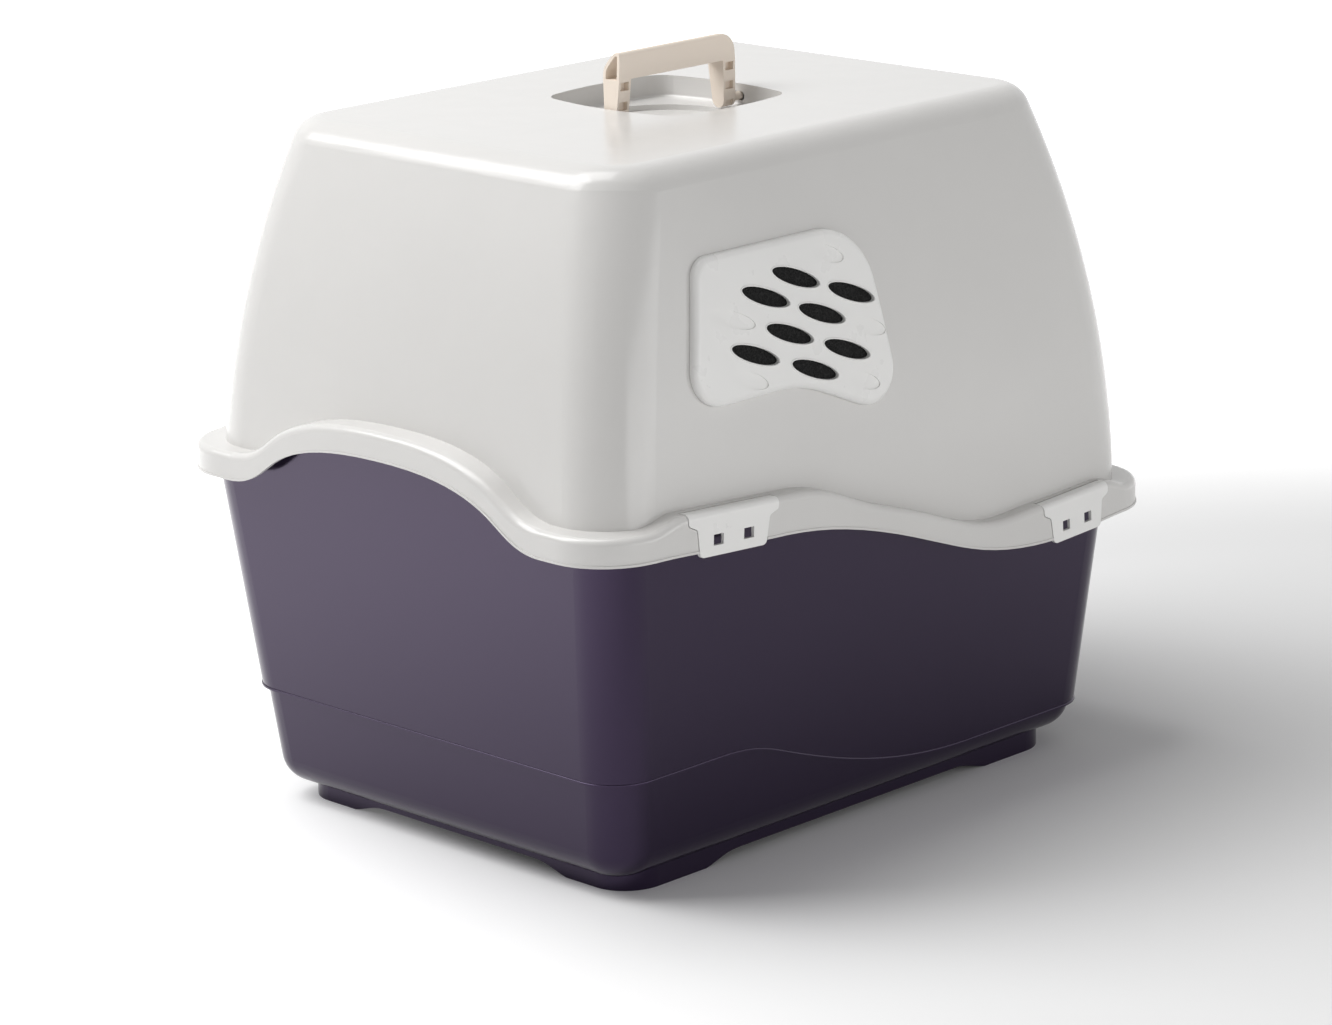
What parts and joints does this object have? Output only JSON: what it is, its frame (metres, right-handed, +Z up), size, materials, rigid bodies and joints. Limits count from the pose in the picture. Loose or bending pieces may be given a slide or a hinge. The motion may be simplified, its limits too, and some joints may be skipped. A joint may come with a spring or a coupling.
{
  "type": "cat litter box with hood",
  "caption": "Hooded cat litter box: tapered tray with corner feet, rounded clip-on hood with wavy rim, folding carry handle, slotted filter cover and swing flap.",
  "frame": {"origin": "on the floor, under the middle of the box", "axes": "+X across the width, +Y along the length to the back (the entrance is at -Y), +Z up; the filter cover is on the -X side"},
  "size_m": [0.45, 0.57, 0.54],
  "materials": {
    "aubergine_plastic": "gloss",
    "white_plastic": "gloss",
    "cream_plastic": "satin",
    "carbon_foam": "matt",
    "smoked_plastic": "gloss"
  },
  "bodies": {
    "tray": {"base_tray": "aubergine_plastic"},
    "hood": {"hood_shell": "white_plastic"},
    "handle": {"carry_handle": "cream_plastic"},
    "filter_unit": {"filter_cover": "white_plastic", "carbon_filter": "carbon_foam"},
    "flap": {"door_flap": "smoked_plastic"},
    "clip_back_left": {"clip_back_left": "white_plastic"},
    "clip_back_right": {"clip_back_right": "white_plastic"},
    "clip_front_left": {"clip_front_left": "white_plastic"},
    "clip_front_right": {"clip_front_right": "white_plastic"}
  },
  "joints": [
    {"name": "hood_lift", "type": "slide", "parent": "tray", "child": "hood", "axis": [0, 0, 1], "range_m": [0, 0.3]},
    {"name": "handle_fold", "type": "hinge", "parent": "hood", "child": "handle", "pos_m": [0, -0.007, 0.491], "axis": [0, 1, 0], "range_deg": [0, 84]},
    {"name": "cover_pull", "type": "slide", "parent": "hood", "child": "filter_unit", "axis": [-1, 0, 0], "range_m": [0, 0.06]},
    {"name": "flap_swing", "type": "hinge", "parent": "hood", "child": "flap", "pos_m": [0, -0.236, 0.414], "axis": [1, 0, 0], "range_deg": [-70, 70]},
    {"name": "clip_back_left_open", "type": "hinge", "parent": "hood", "child": "clip_back_left", "pos_m": [-0.2183, 0.166, 0.2713], "axis": [0, 0.9982, 0.0593], "range_deg": [0, 100]},
    {"name": "clip_back_right_open", "type": "hinge", "parent": "hood", "child": "clip_back_right", "pos_m": [0.2183, 0.166, 0.2713], "axis": [0, -0.9982, -0.0593], "range_deg": [0, 100]},
    {"name": "clip_front_left_open", "type": "hinge", "parent": "hood", "child": "clip_front_left", "pos_m": [-0.2183, -0.186, 0.2059], "axis": [0, 0.9986, -0.0523], "range_deg": [0, 100]},
    {"name": "clip_front_right_open", "type": "hinge", "parent": "hood", "child": "clip_front_right", "pos_m": [0.2183, -0.186, 0.2059], "axis": [0, -0.9986, 0.0523], "range_deg": [0, 100]}
  ]
}
